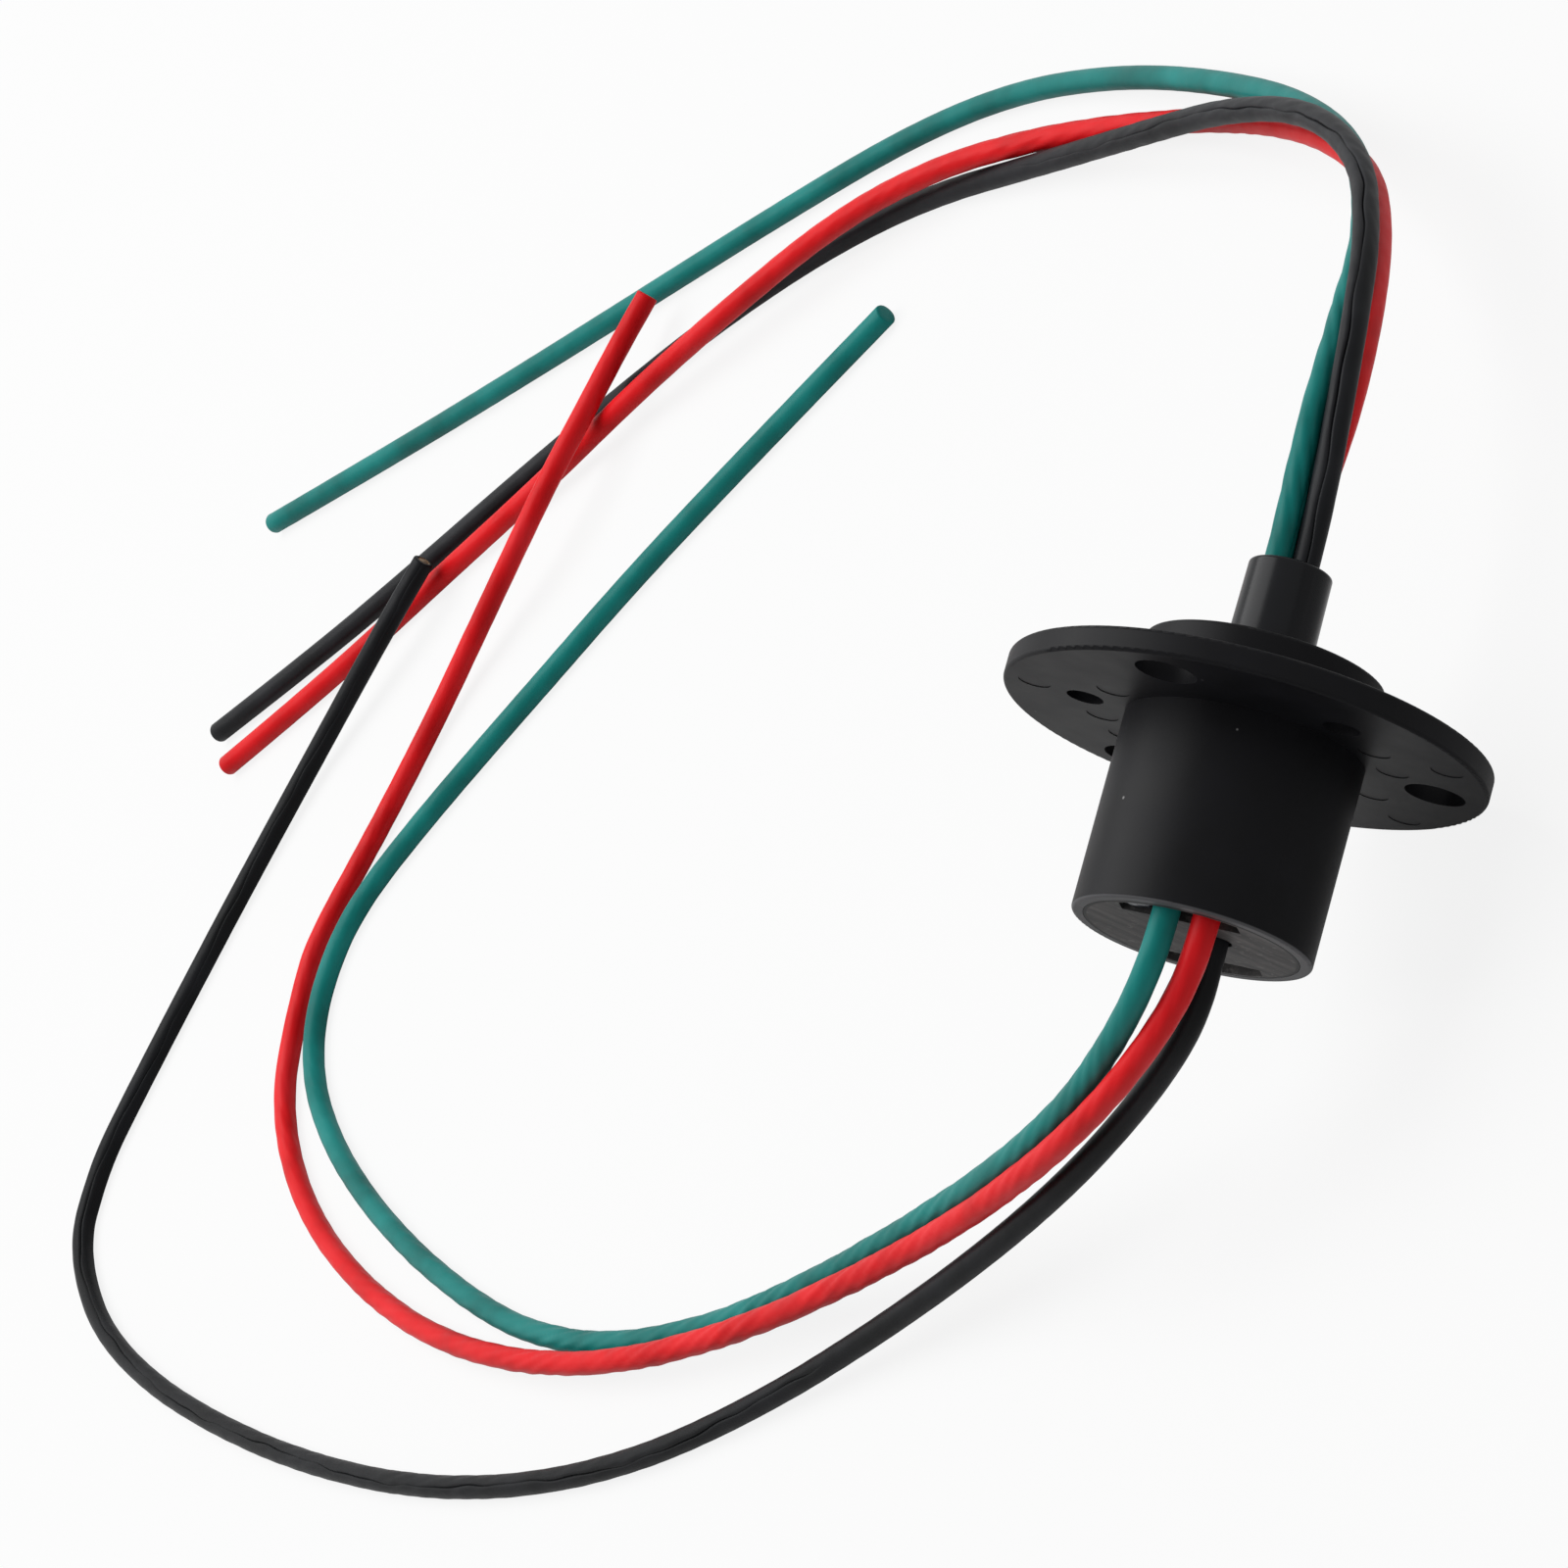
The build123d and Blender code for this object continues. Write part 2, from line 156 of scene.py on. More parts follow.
# leads: the CAD routes, moved a few millimetres to lie as in the photograph, in millimetres
leadRoutes = {
    "rotor_lead_green": [
        (-0.3, 12.3, 1.4), (-0.3, 18.6, 1.4), (-0.7, 23.8, 1.4), (-1.3, 31.0, 1.3), (-6.0, 42.1, -1.9),
        (-11.9, 53.8, -5.9), (-25.3, 66.5, -11.0), (-44.5, 76.5, -15.1), (-68.0, 84.0, -18.2),
        (-89.9, 89.0, -20.2), (-110.8, 91.1, -21.0), (-131.2, 89.2, -21.0), (-156.6, 83.4, -21.0),
        (-183.3, 76.6, -21.0), (-209.3, 70.1, -21.0), (-234.7, 64.1, -21.0), (-261.5, 58.2, -21.0),
    ],
    "rotor_lead_black": [
        (1.4, 12.3, -0.5), (1.4, 18.6, -0.5), (1.6, 25.5, 0.0), (0.5, 33.7, 0.0), (-2.1, 42.6, -0.8),
        (-6.7, 51.3, -2.7), (-16.8, 62.2, -6.3), (-34.2, 71.6, -10.0), (-55.0, 76.7, -13.6),
        (-76.3, 78.7, -16.8), (-98.8, 80.4, -19.8), (-122.5, 80.9, -21.0), (-141.3, 78.0, -21.0),
        (-160.8, 72.4, -21.0), (-179.6, 65.0, -21.0), (-199.4, 56.3, -21.0), (-217.5, 47.8, -21.0),
        (-236.9, 39.1, -21.0), (-259.0, 30.5, -21.0),
    ],
    "rotor_lead_red": [
        (-1.1, 12.3, -1.0), (-1.1, 18.6, -1.0), (-0.8, 24.6, -1.3), (-1.0, 33.3, -2.1),
        (-6.3, 43.9, -5.1), (-14.8, 55.2, -9.2), (-26.5, 65.7, -13.6), (-43.0, 73.6, -16.7),
        (-61.2, 79.0, -19.2), (-79.9, 82.2, -20.4), (-98.1, 83.2, -19.3), (-115.7, 81.9, -17.5),
        (-133.7, 78.1, -16.9), (-153.8, 70.4, -17.4), (-172.8, 63.4, -18.8), (-192.3, 55.0, -20.4),
        (-213.4, 45.2, -21.0), (-232.5, 35.1, -21.0), (-253.7, 25.8, -21.0),
    ],
    "stator_lead_green": [
        (4.61, -15.9, 6.11), (4.61, -20.2, 6.11), (2.6, -24.3, 5.2), (-3.9, -27.9, 2.3),
        (-15.3, -31.9, -2.3), (-29.2, -35.5, -6.4), (-51.3, -38.6, -12.7), (-75.7, -42.8, -17.4),
        (-99.6, -46.5, -20.9), (-121.3, -48.7, -21.0), (-140.6, -46.7, -21.0), (-159.0, -41.4, -21.0),
        (-176.2, -34.8, -21.0), (-191.7, -27.1, -21.0), (-202.6, -19.5, -21.0), (-208.1, -13.0, -21.0),
        (-210.2, -7.3, -21.0), (-210.3, -2.5, -21.0), (-209.3, 2.1, -21.0), (-206.2, 6.9, -21.0),
        (-200.2, 12.7, -21.0), (-191.1, 20.3, -21.0), (-178.9, 29.8, -21.0), (-163.7, 41.7, -21.0),
        (-144.6, 54.7, -21.0), (-125.2, 67.4, -21.0),
    ],
    "stator_lead_red": [
        (6.75, -15.9, 3.26), (6.75, -20.2, 3.26), (4.6, -23.8, 2.3), (0.4, -27.5, 1.0),
        (-7.8, -32.1, -1.2), (-21.3, -36.5, -4.8), (-43.8, -40.3, -11.0), (-68.5, -44.4, -15.5),
        (-92.7, -48.4, -18.3), (-115.8, -51.1, -19.1), (-137.7, -50.6, -19.8), (-159.9, -47.2, -20.7),
        (-179.6, -41.1, -21.0), (-195.6, -33.4, -21.0), (-206.5, -25.1, -21.0), (-212.4, -17.5, -21.0),
        (-214.3, -11.4, -21.0), (-215.2, -5.5, -21.0), (-215.6, -0.6, -21.0), (-213.9, 4.1, -21.0),
        (-210.3, 10.8, -21.0), (-206.1, 19.2, -21.0), (-201.2, 28.3, -20.6), (-194.0, 37.0, -18.8),
        (-186.3, 44.6, -16.6), (-181.5, 53.1, -15.9), (-178.5, 61.5, -16.4), (-177.5, 69.5, -17.6),
        (-175.1, 75.3, -18.0),
    ],
    "stator_lead_black": [
        (2.6, -15.9, -0.8), (2.6, -20.2, -0.8), (0.7, -23.9, -2.1), (-3.8, -27.2, -4.1),
        (-12.9, -31.3, -7.2), (-25.9, -37.0, -10.4), (-44.0, -42.5, -14.5), (-65.5, -48.3, -18.5),
        (-86.5, -54.6, -20.7), (-107.7, -60.6, -21.0), (-130.2, -63.7, -21.0), (-154.6, -64.0, -21.0),
        (-180.9, -61.4, -21.0), (-204.6, -57.1, -21.0), (-224.7, -52.0, -21.0), (-240.4, -45.9, -21.0),
        (-249.7, -39.3, -21.0), (-254.3, -33.5, -21.0), (-254.7, -28.4, -21.0), (-254.3, -23.5, -21.0),
        (-251.9, -17.6, -21.0), (-246.7, -6.3, -21.0), (-238.9, 9.6, -21.0), (-229.9, 23.8, -20.4),
        (-221.2, 32.8, -18.8), (-214.3, 40.0, -17.6), (-209.9, 46.4, -17.4),
    ],
}
# per lead: the CAD lead's length, where strands show through (middle and spread along it) and how
# deep, whether copper shows in the cut end, and the lengthwise crease where it has one
leads = {
    "rotor_lead_green": {"length": 304.7, "sheath": "green", "shows": (24, 34), "depth": 0.13,
                         "core": False, "crease": {"depth": 0.25, "faces": (0.94, 0.04, -0.31), "span": (0, 120)}},
    "rotor_lead_black": {"length": 308.4, "sheath": "painted-lit black", "shows": (90, 60), "depth": 0.07,
                         "core": False, "crease": {"depth": 0.38, "faces": (0.70, -0.30, 0.65), "span": (0, 120)}},
    "rotor_lead_red": {"length": 302.3, "sheath": "red", "shows": (120, 60), "depth": 0.10,
                       "core": False, "crease": None},
    "stator_lead_green": {"length": 359.0, "sheath": "green", "shows": (105, 75), "depth": 0.18,
                          "core": False, "crease": None},
    "stator_lead_red": {"length": 348.6, "sheath": "red", "shows": (115, 85), "depth": 0.18,
                        "core": True, "crease": None},
    "stator_lead_black": {"length": 373.0, "sheath": "black", "shows": (180, 70), "depth": 0.08,
                          "core": True, "crease": {"depth": 0.30, "faces": (0.86, -0.16, 0.50), "span": (90, 330)}},
}
# for all leads, lengths in millimetres and angles in radians
# a pair is a wave's height and its length over 2 pi
leadSet = {
    "diameter": 2.5, "around": 60, "steps": 24,  # mesh: vertices round it, steps between route points
    "uvLength": 10,  # lead in one unit of its UV map
    "seedStep": 1.7,  # moves the waves on from lead to lead
    "twistFrom": (0.0, 17.5, 0.0), "twistTo": (-3.0, 42.0, 0.0),  # a stretch by the stub, along the rotor leads
    "strands": 6, "lay": 26.0,  # strands under the sheath, and one turn of them
    "least": 0.12, "calmStart": 12.0,  # least share of the ridges, and the stretch where they begin
    "ridgeMean": 0.64, "ridgeHeight": 0.65, "unevenShort": (0.45, 4.3), "unevenLong": (1, 14.7),
    "waverLong": (0.35, 11), "waverShort": (0.07, 2.7),  # the ridges waver round the lead
    "lumpLong": (0.12, 2.3), "lumpShort": (0.10, 1.1),
    "creaseWidth": 0.11, "creaseStart": 6, "creaseCrowding": 0.14,
    "creaseMean": 0.7, "creaseUneven": (0.3, 3.7),
    "wanderLong": (0.20, 8.3), "wanderMiddle": (0.07, 1.9), "wanderShort": (0.05, 1.1),
    # cut end, ring by ring: shares of the cut edge back and inward, and of the swelling
    "cutEdge": 0.18, "cutRings": ((1, 0, 1), (0.3, 0.3, 0.7), (0, 1, 0.3)),
    # inside it: distance back, share of the radius, and distance on along the UV map
    "coreRings": ((0.0, 0.6, 0.5), (0.12, 0.57, 0.6), (0.04, 0.42, 0.8)),
    "plainRings": ((-0.02, 0.5, 0.6),),
}


def readSpline(name, points):
    # the smooth line through a route, as Blender's own NURBS gives it
    curve = bpy.data.curves.new(name + "Line", "CURVE")
    curve.dimensions = "3D"
    spline = curve.splines.new("NURBS")
    spline.points.add(len(points) - 1)
    for point, place in zip(spline.points, points):
        point.co = (place[0] * mm, place[1] * mm, place[2] * mm, 1)
    spline.order_u = 3
    spline.use_endpoint_u = True
    curve.resolution_u = leadSet["steps"]
    holder = bpy.data.objects.new(name + "Line", curve)
    bpy.context.scene.collection.objects.link(holder)
    bpy.context.view_layer.update()
    line = bpy.data.meshes.new_from_object(holder.evaluated_get(bpy.context.evaluated_depsgraph_get()))
    path = [v.co.copy() for v in line.vertices]
    bpy.data.objects.remove(holder)
    bpy.data.curves.remove(curve)
    bpy.data.meshes.remove(line)
    return path


def walkPath(path):
    # place, two directions across, direction along, and distance in millimetres
    # the directions across turn as little as the path allows
    rows, across, along = [], None, 0.0
    for i, place in enumerate(path):
        forward = (path[min(i + 1, len(path) - 1)] - path[max(i - 1, 0)]).normalized()
        across = forward.orthogonal() if across is None else across
        across = (across - forward * across.dot(forward)).normalized()
        along += (place - path[i - 1]).length / mm if i else 0.0
        rows.append((place, across.copy(), forward.cross(across), forward, along))
    return rows


def wave(name, along, shift):
    # one of the waves above, at this distance along the lead
    height, length = leadSet[name]
    return height * math.sin(along / length + shift)


def swell(lead, seed, angle, along):
    # how far strands and slow lumps lift the sheath from its mean radius, less where it leaves the object
    middle, spread = lead["shows"]
    share = leadSet["least"] + (1 - leadSet["least"]) * math.exp(-((along - middle) / spread) ** 2)
    share *= min(1, along / leadSet["calmStart"])
    uneven = leadSet["ridgeHeight"] + wave("unevenShort", along, seed) * wave("unevenLong", along, 2 * seed)
    waver = wave("waverLong", along, seed) + wave("waverShort", along, 2 * seed)
    turn = leadSet["strands"] * (angle + 2 * math.pi * along / leadSet["lay"] + waver)
    ridges = abs(math.cos(turn / 2)) - leadSet["ridgeMean"]
    lumps = wave("lumpLong", along, seed + angle) + wave("lumpShort", along, seed + 3 * angle)
    return lead["depth"] * share * (uneven * ridges + lumps)


def foldAt(crease, seed, along):
    # depth of the lengthwise crease, and how far it wanders round the lead
    begin, end = crease["span"]
    fade = min(1, max(0, along - begin) / leadSet["creaseStart"]) * math.exp(-(along / end) ** 4)
    depth = crease["depth"] * fade * (leadSet["creaseMean"] + wave("creaseUneven", along, seed))
    wander = wave("wanderLong", along, seed) + wave("wanderMiddle", along, 0) + wave("wanderShort", along, seed)
    return depth, wander


def makeLead(name, lead, seed, sheath, core):
    # a closed tube of rings along the route, with a rounded cut end
    path = readSpline(name, leadRoutes[name])
    rows = walkPath(path)
    radius = leadSet["diameter"] / 2
    around = leadSet["around"]
    crease = lead["crease"]
    verts, faces, uvs, kinds, rings = [], [], [], [], []

    def addRing(row, back, share, uvAlong, swollen):
        place, across, side, forward, along = row
        fold, start, crowding = 0.0, 0.0, 0.0
        if crease:
            fold, wander = foldAt(crease, seed, along)
            creaseWay = Vector(crease["faces"])
            start = math.atan2(creaseWay.dot(side), creaseWay.dot(across)) + wander
            crowding = leadSet["creaseCrowding"]
        rings.append((len(verts), uvAlong / leadSet["uvLength"]))
        for k in range(around):
            # vertices crowd together at the crease, so that it stays sharp
            turn = k / around - crowding * math.sin(2 * math.pi * k / around)
            angle = start + 2 * math.pi * turn
            offset = (turn if turn < 0.5 else turn - 1) * math.pi * leadSet["diameter"]
            groove = fold * math.exp(-abs(offset) / leadSet["creaseWidth"])
            out = radius * share + swollen * (swell(lead, seed, angle, along) - groove)
            spoke = across * math.cos(angle) + side * math.sin(angle)
            verts.append(place - forward * back * mm + spoke * out * mm)

    last = rows[-1]
    end = last[4]
    cut = leadSet["cutEdge"]
    for row in rows[:-1]:
        addRing(row, 0, 1, row[4], 1)
    for back, inward, swollen in leadSet["cutRings"]:
        addRing(last, cut * back, 1 - inward * cut / radius, end - cut * back, swollen)
    coreFrom = len(rings)
    for back, share, beyond in leadSet["coreRings"] if lead["core"] else leadSet["plainRings"]:
        addRing(last, back, share, end + beyond, 0)

    for row, ((a, ua), (b, ub)) in enumerate(zip(rings, rings[1:])):
        for k in range(around):
            n = (k + 1) % around
            faces.append((a + k, a + n, b + n, b + k))
            uvs += [(ua, k / around), (ua, (k + 1) / around), (ub, (k + 1) / around), (ub, k / around)]
            kinds.append(1 if row >= coreFrom and lead["core"] else 0)
    faces.append([rings[-1][0] + k for k in range(around)])
    faces.append([rings[0][0] + k for k in reversed(range(around))])
    uvs += [(rings[-1][1], k / around) for k in range(around)] + [(0, k / around) for k in range(around)]
    kinds += [1 if lead["core"] else 0, 0]

    mesh = bpy.data.meshes.new(name + "Cord")
    mesh.from_pydata(verts, [], faces)
    layer = mesh.uv_layers.new(name="alongLead")
    for loop, uv in zip(layer.data, uvs):
        loop.uv = uv
    mesh.materials.append(sheath)
    mesh.materials.append(core)
    for polygon, kind in zip(mesh.polygons, kinds):
        polygon.material_index = kind
        polygon.use_smooth = True
    mesh.update()
    cord = bpy.data.objects.new(name + "Cord", mesh)
    bpy.context.scene.collection.objects.link(cord)
    return cord, path, end


def sheathPlastic(name, dark, colour, pale, roughness, specular):
    # soft PVC extruded over twisted strands: satin, with a faint cloudy bloom and a fine drawn skin
    material, tree, shader = newMaterial(name)
    coords = addNode(tree, "ShaderNodeTexCoord", {}, {})
    bloom = addNode(tree, "ShaderNodeTexNoise", {},
                    {"Vector": coords.outputs["Object"], "Scale": perSize(9), "Detail": 3.0})
    tone = addNode(tree, "ShaderNodeValToRGB", {}, {"Fac": bloom.outputs["Fac"]})
    tone.color_ramp.elements[0].position = 0.30
    tone.color_ramp.elements[0].color = linear(dark)
    tone.color_ramp.elements[1].position = 0.72
    tone.color_ramp.elements[1].color = linear(pale)
    tone.color_ramp.elements.new(0.5).color = linear(colour)
    tree.links.new(tone.outputs["Color"], shader.inputs["Base Color"])
    scuff = addNode(tree, "ShaderNodeTexNoise", {},
                    {"Vector": coords.outputs["Object"], "Scale": perSize(2.2), "Detail": 4.0})
    rough = addNode(tree, "ShaderNodeMapRange", {},
                    {"Value": scuff.outputs["Fac"], "To Min": roughness - 0.10, "To Max": roughness + 0.12})
    tree.links.new(rough.outputs["Result"], shader.inputs["Roughness"])
    # drawn streaks 1.7 mm long and 0.6 mm wide, 6 in each 10 mm of lead and 14 round it,
    # coarser than real ones so that they show
    drawn = addNode(tree, "ShaderNodeMapping", {}, {"Vector": coords.outputs["UV"], "Scale": (6, 14, 1)})
    skin = addNode(tree, "ShaderNodeTexNoise", {},
                   {"Vector": drawn.outputs["Vector"], "Scale": 1.0, "Detail": 3.0})
    bump = addNode(tree, "ShaderNodeBump", {},
                   {"Height": skin.outputs["Fac"], "Strength": 0.35, "Distance": 0.06 * mm})
    tree.links.new(bump.outputs["Normal"], shader.inputs["Normal"])
    shader.inputs["IOR"].default_value = 1.5
    shader.inputs["Specular IOR Level"].default_value = specular
    return material


sheaths = {
    "green": sheathPlastic("green PVC sheath", dark="#075c57", colour="#0a6d68", pale="#167a75",
                           roughness=0.42, specular=0.11),
    "red": sheathPlastic("red PVC sheath", dark="#ba0c12", colour="#cf1218", pale="#d41f25",
                         roughness=0.42, specular=0.11),
    "black": sheathPlastic("black PVC sheath", dark="#0a0b0c", colour="#0f1012", pale="#16171a",
                           roughness=0.42, specular=0.08),
    # the same black sheath painted lighter for the rotor black lead: painted light, as that lead lies better lit
    "painted-lit black": sheathPlastic("painted-lit black PVC sheath", dark="#101113", colour="#16171a", pale="#1f2023",
                                  roughness=0.44, specular=0.10),
}
# cut copper strands, dulled: warm metal in the middle of a cut end, with painted shade between the strand ends
strandSet = {"size": 0.3, "copper": "#b09070", "strandShade": "#4a3c30", "roughness": 0.5}
cutStrands, tree, shader = newMaterial("cut copper strands")
coords = addNode(tree, "ShaderNodeTexCoord", {}, {})
strandEnds = addNode(tree, "ShaderNodeTexVoronoi", {},
                     {"Vector": coords.outputs["Object"], "Scale": perSize(strandSet["size"])})
strandTone = addNode(tree, "ShaderNodeValToRGB", {}, {"Fac": strandEnds.outputs["Distance"]})
strandTone.color_ramp.elements[0].color = linear(strandSet["copper"])
strandTone.color_ramp.elements[1].color = linear(strandSet["strandShade"])
tree.links.new(strandTone.outputs["Color"], shader.inputs["Base Color"])
shader.inputs["Metallic"].default_value = 1.0
shader.inputs["Roughness"].default_value = strandSet["roughness"]

for number, (name, lead) in enumerate(leads.items()):
    owner, _, colour = name.split("_")
    cord, path, length = makeLead(name, lead, leadSet["seedStep"] * number, sheaths[lead["sheath"]], cutStrands)
    if owner == "rotor":
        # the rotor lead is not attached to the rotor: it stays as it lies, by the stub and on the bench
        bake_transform(cord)
    else:
        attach(cord, owner)
    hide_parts(name)
    print(name, "follows its route,", round(length, 1), "mm")


def moulding(name, look):
    # plastic from a polished mould: satin, a little cloudy, a few dust specks
    # and a fine tooth, drawn coarser than the real one so that it shows
    material, tree, shader = newMaterial(name)
    coords = addNode(tree, "ShaderNodeTexCoord", {}, {})
    cloud = addNode(tree, "ShaderNodeTexNoise", {},
                    {"Vector": coords.outputs["Object"], "Scale": perSize(5), "Detail": 5.0})
    tone = addNode(tree, "ShaderNodeValToRGB", {}, {"Fac": cloud.outputs["Fac"]})
    tone.color_ramp.elements[0].position = 0.35
    tone.color_ramp.elements[0].color = linear(look["colour"])
    tone.color_ramp.elements[1].position = 0.75
    tone.color_ramp.elements[1].color = linear(look["pale"])
    cells = addNode(tree, "ShaderNodeTexVoronoi", {},
                    {"Vector": coords.outputs["Object"], "Scale": perSize(4.5)})
    dust = addNode(tree, "ShaderNodeMapRange", {},
                   {"Value": cells.outputs["Distance"], "From Min": 0.045, "From Max": 0.03, "To Max": 0.45})
    dusty = addNode(tree, "ShaderNodeMix", {"data_type": "RGBA"},
                    {"Factor": dust.outputs["Result"], "A": tone.outputs["Color"], "B": linear("#b8b8b8")})
    tree.links.new(dusty.outputs["Result"], shader.inputs["Base Color"])
    rough = addNode(tree, "ShaderNodeMapRange", {},
                    {"Value": cloud.outputs["Fac"], "To Min": look["roughness"] - 0.07,
                     "To Max": look["roughness"] + 0.09})
    tree.links.new(rough.outputs["Result"], shader.inputs["Roughness"])
    tooth = addNode(tree, "ShaderNodeTexNoise", {},
                    {"Vector": coords.outputs["Object"], "Scale": perSize(look["grain"]), "Detail": 2.0})
    bump = addNode(tree, "ShaderNodeBump", {},
                   {"Height": tooth.outputs["Fac"], "Strength": 0.12, "Distance": 0.02 * mm})
    tree.links.new(bump.outputs["Normal"], shader.inputs["Normal"])
    shader.inputs["IOR"].default_value = 1.52
    shader.inputs["Specular IOR Level"].default_value = look["specular"]
    return material, tree, shader, coords, dusty


# housing: "faceFrom" is where the rear edge's face begins, in millimetres
housingSet = {"colour": "#0c0c0e", "pale": "#121215", "roughness": 0.44, "specular": 0.085, "grain": 0.25,
              "faceFrom": -18.5, "faceBlend": 0.05, "faceReflectionTone": "#505052"}
housingPlastic, tree, shader, coords, dusty = moulding("black glass-filled nylon", housingSet)
# the rear edge's face is painted paler: a painted reflection of the bright floor, which that face meets at a
# grazing angle
place = addNode(tree, "ShaderNodeSeparateXYZ", {}, {"Vector": coords.outputs["Object"]})
trimmed = addNode(tree, "ShaderNodeMapRange", {},
                  {"Value": place.outputs["Y"],
                   "From Min": (housingSet["faceFrom"] + housingSet["faceBlend"]) * mm,
                   "From Max": (housingSet["faceFrom"] - housingSet["faceBlend"]) * mm})
paintedRearFaceReflection = addNode(tree, "ShaderNodeMix", {"data_type": "RGBA"},
                {"Factor": trimmed.outputs["Result"], "A": dusty.outputs["Result"],
                 "B": linear(housingSet["faceReflectionTone"])})
tree.links.new(paintedRearFaceReflection.outputs["Result"], shader.inputs["Base Color"])
wear(nodes["housing"], housingPlastic)

stubSet = {"colour": "#0e0f12", "pale": "#15161a", "roughness": 0.23, "specular": 0.13, "grain": 0.3}
wear(nodes["rotor_shaft"], moulding("black acetal", stubSet)[0])

# cap: the windows run at 45 degrees, and the painted shade in the seam at its edge is measured in from that edge in
# millimetres
capSet = {"dark": "#191818", "colour": "#333131", "pale": "#504d4c", "chalk": "#6a6766", "rim": "#070707",
          "streakSize": 1.4, "streakStretch": 0.18, "spotSize": 0.7, "roughness": 0.6, "specular": 0.3,
          "rimFrom": 0.34, "rimFull": 0.24, "windowTurn": math.radians(45),
          "radius": max(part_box("end_cap")[1][0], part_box("end_cap")[1][2]) / mm}
# nylon cap, rubbed flat after moulding: dull, streaked along its windows, chalky in spots,
# with painted shade at its outer edge, in the seam against the housing
capPlastic, tree, shader = newMaterial("dark nylon cap")
coords = addNode(tree, "ShaderNodeTexCoord", {}, {})
turned = addNode(tree, "ShaderNodeMapping", {},
                 {"Vector": coords.outputs["Object"], "Rotation": (0, capSet["windowTurn"], 0),
                  "Scale": (1, 1, capSet["streakStretch"])})
streak = addNode(tree, "ShaderNodeTexNoise", {},
                 {"Vector": turned.outputs["Vector"], "Scale": perSize(capSet["streakSize"]),
                  "Detail": 6.0, "Roughness": 0.65})
tone = addNode(tree, "ShaderNodeValToRGB", {}, {"Fac": streak.outputs["Fac"]})
tone.color_ramp.elements[0].position = 0.32
tone.color_ramp.elements[0].color = linear(capSet["dark"])
tone.color_ramp.elements[1].position = 0.70
tone.color_ramp.elements[1].color = linear(capSet["pale"])
tone.color_ramp.elements.new(0.5).color = linear(capSet["colour"])
spots = addNode(tree, "ShaderNodeTexNoise", {},
                {"Vector": coords.outputs["Object"], "Scale": perSize(capSet["spotSize"]), "Detail": 3.0})
chalk = addNode(tree, "ShaderNodeMapRange", {},
                {"Value": spots.outputs["Fac"], "From Min": 0.58, "From Max": 0.70, "To Max": 0.55})
chalky = addNode(tree, "ShaderNodeMix", {"data_type": "RGBA"},
                 {"Factor": chalk.outputs["Result"], "A": tone.outputs["Color"], "B": linear(capSet["chalk"])})
# painted shade for the thin seam to the housing: the cap is darkened near its outer edge
flat = addNode(tree, "ShaderNodeVectorMath", {"operation": "MULTIPLY"},
               {0: coords.outputs["Object"], 1: (1, 0, 1)})
fromAxis = addNode(tree, "ShaderNodeVectorMath", {"operation": "LENGTH"}, {0: flat.outputs["Vector"]})
rim = addNode(tree, "ShaderNodeMapRange", {},
              {"Value": fromAxis.outputs["Value"], "From Min": (capSet["radius"] - capSet["rimFrom"]) * mm,
               "From Max": (capSet["radius"] - capSet["rimFull"]) * mm})
rimmed = addNode(tree, "ShaderNodeMix", {"data_type": "RGBA"},
                 {"Factor": rim.outputs["Result"], "A": chalky.outputs["Result"], "B": linear(capSet["rim"])})
tree.links.new(rimmed.outputs["Result"], shader.inputs["Base Color"])
shader.inputs["Roughness"].default_value = capSet["roughness"]
bump = addNode(tree, "ShaderNodeBump", {},
               {"Height": streak.outputs["Fac"], "Strength": 0.3, "Distance": 0.04 * mm})
tree.links.new(bump.outputs["Normal"], shader.inputs["Normal"])
shader.inputs["IOR"].default_value = 1.52
shader.inputs["Specular IOR Level"].default_value = capSet["specular"]
wear(nodes["end_cap"], capPlastic)
print("housing, stub and cap finished")


def turnedMetal(name, colour, dull, roughness, lines):
    # metal turned on a lathe: fine rings round the rotor axis, drawn coarser than real ones so that they show
    # the wave texture counts its coordinates twentyfold, so lines is the spacing in millimetres over 2 pi
    material, tree, shader = newMaterial(name)
    coords = addNode(tree, "ShaderNodeTexCoord", {}, {})
    cutLines = addNode(tree, "ShaderNodeTexWave", {"wave_type": "BANDS", "bands_direction": "Y"},
                       {"Vector": coords.outputs["Object"], "Scale": perSize(lines) / 20, "Distortion": 0.6})
    tone = addNode(tree, "ShaderNodeMix", {"data_type": "RGBA"},
                   {"Factor": cutLines.outputs["Fac"], "A": linear(colour), "B": linear(dull)})
    tree.links.new(tone.outputs["Result"], shader.inputs["Base Color"])
    rough = addNode(tree, "ShaderNodeMapRange", {},
                    {"Value": cutLines.outputs["Fac"], "To Min": roughness - 0.05, "To Max": roughness + 0.08})
    tree.links.new(rough.outputs["Result"], shader.inputs["Roughness"])
    shader.inputs["Metallic"].default_value = 1.0
    return material


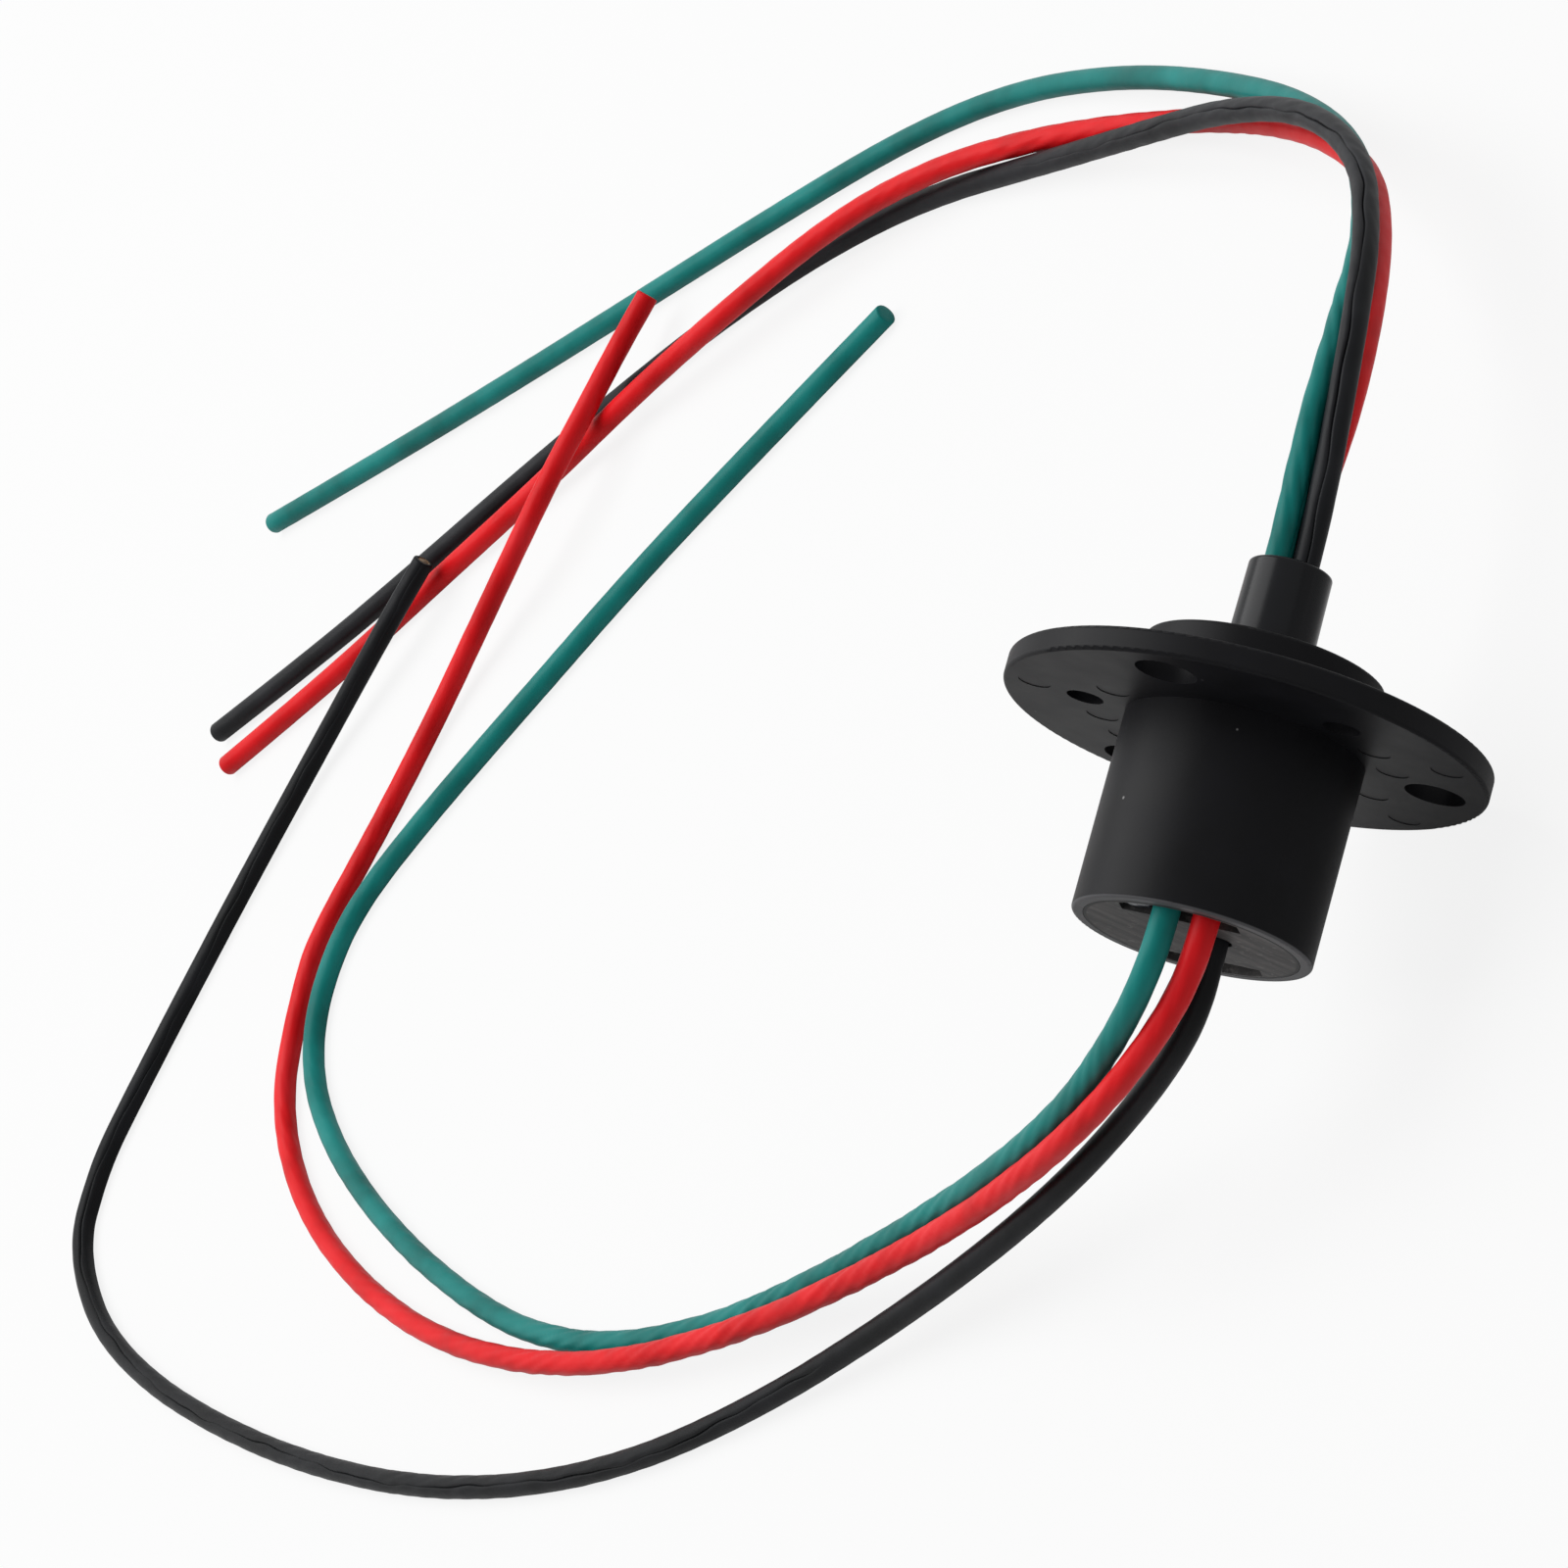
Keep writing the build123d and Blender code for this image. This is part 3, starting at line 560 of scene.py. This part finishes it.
def plainPlastic(name, colour, pale, roughness, cloudSize):
    # unpolished moulding or board: dull and slightly uneven
    material, tree, shader = newMaterial(name)
    coords = addNode(tree, "ShaderNodeTexCoord", {}, {})
    cloud = addNode(tree, "ShaderNodeTexNoise", {},
                    {"Vector": coords.outputs["Object"], "Scale": perSize(cloudSize), "Detail": 4.0})
    tone = addNode(tree, "ShaderNodeMix", {"data_type": "RGBA"},
                   {"Factor": cloud.outputs["Fac"], "A": linear(colour), "B": linear(pale)})
    tree.links.new(tone.outputs["Result"], shader.inputs["Base Color"])
    bump = addNode(tree, "ShaderNodeBump", {},
                   {"Height": cloud.outputs["Fac"], "Strength": 0.1, "Distance": 0.03 * mm})
    tree.links.new(bump.outputs["Normal"], shader.inputs["Normal"])
    shader.inputs["Roughness"].default_value = roughness
    return material


brassWire = turnedMetal("drawn brass wire", "#d8ab50", "#bf9340", roughness=0.28, lines=0.05)
bearingSteel = turnedMetal("ground bearing steel", "#7d7e82", "#66676b", roughness=0.36, lines=0.06)
innerFinishes = {
    "contact_ring": turnedMetal("plated brass ring", "#e0b354", "#c99a3f", roughness=0.22, lines=0.08),
    "rear_spacer": turnedMetal("turned brass", "#c9a052", "#b08840", roughness=0.35, lines=0.1),
    "brush_upper": brassWire,
    "brush_lower": brassWire,
    "front_bearing": bearingSteel,
    "rear_bearing": bearingSteel,
    "barrier_disc": plainPlastic("natural acetal", "#d8d4c8", "#e4e1d8", roughness=0.5, cloudSize=1.2),
    "brush_block": plainPlastic("epoxy board", "#1d4a2c", "#275a38", roughness=0.55, cloudSize=0.6),
    "rear_carrier": plainPlastic("grey nylon", "#3c3d40", "#48494c", roughness=0.6, cloudSize=1.5),
}
for start, finish in innerFinishes.items():
    for name, node in nodes.items():
        if name.startswith(start):
            wear(node, finish)
print("inner pieces finished")

# glue in the left end of the near window, between the green lead and the window's end
glueSet = {"along": 4.0, "out": 7.5, "depth": -18.0, "sizes": (1.45, 0.55, 1.75), "slumpSize": 1.1, "slump": 0.35,
           "colour": "#2f3845", "dark": "#1b2027", "hazeSize": 0.8, "roughness": 0.22, "specular": 0.25}
glueTurn = capSet["windowTurn"]
gluePlace = (glueSet["out"] * math.cos(glueTurn) - glueSet["along"] * math.sin(glueTurn), glueSet["depth"],
             glueSet["out"] * math.sin(glueTurn) + glueSet["along"] * math.cos(glueTurn))
bpy.ops.mesh.primitive_uv_sphere_add(segments=40, ring_count=24, radius=1 * mm)
glue = bpy.context.object
glue.name = "windowGlue"
glue.scale = glueSet["sizes"]
glue.rotation_euler = (0, glueTurn, 0)
glue.location = [v * mm for v in gluePlace]
bpy.ops.object.transform_apply(location=True, rotation=True, scale=True)
slump = bpy.data.textures.new("slump", "CLOUDS")
slump.noise_scale = glueSet["slumpSize"] * mm
settle = glue.modifiers.new("settle", "DISPLACE")
settle.texture = slump
settle.texture_coords = "LOCAL"
settle.strength = glueSet["slump"] * mm
bpy.ops.object.modifier_apply(modifier="settle")
bpy.ops.object.shade_smooth()
# clear epoxy, slightly blue: wet gloss over the dark window
epoxy, tree, shader = newMaterial("clear epoxy")
coords = addNode(tree, "ShaderNodeTexCoord", {}, {})
haze = addNode(tree, "ShaderNodeTexNoise", {},
               {"Vector": coords.outputs["Object"], "Scale": perSize(glueSet["hazeSize"]), "Detail": 2.0})
hazeTone = addNode(tree, "ShaderNodeMix", {"data_type": "RGBA"},
                   {"Factor": haze.outputs["Fac"], "A": linear(glueSet["dark"]), "B": linear(glueSet["colour"])})
tree.links.new(hazeTone.outputs["Result"], shader.inputs["Base Color"])
shader.inputs["Roughness"].default_value = glueSet["roughness"]
shader.inputs["IOR"].default_value = 1.55
shader.inputs["Specular IOR Level"].default_value = glueSet["specular"]
wear(glue, epoxy)
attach(glue, "stator")
print("glue set in the window")
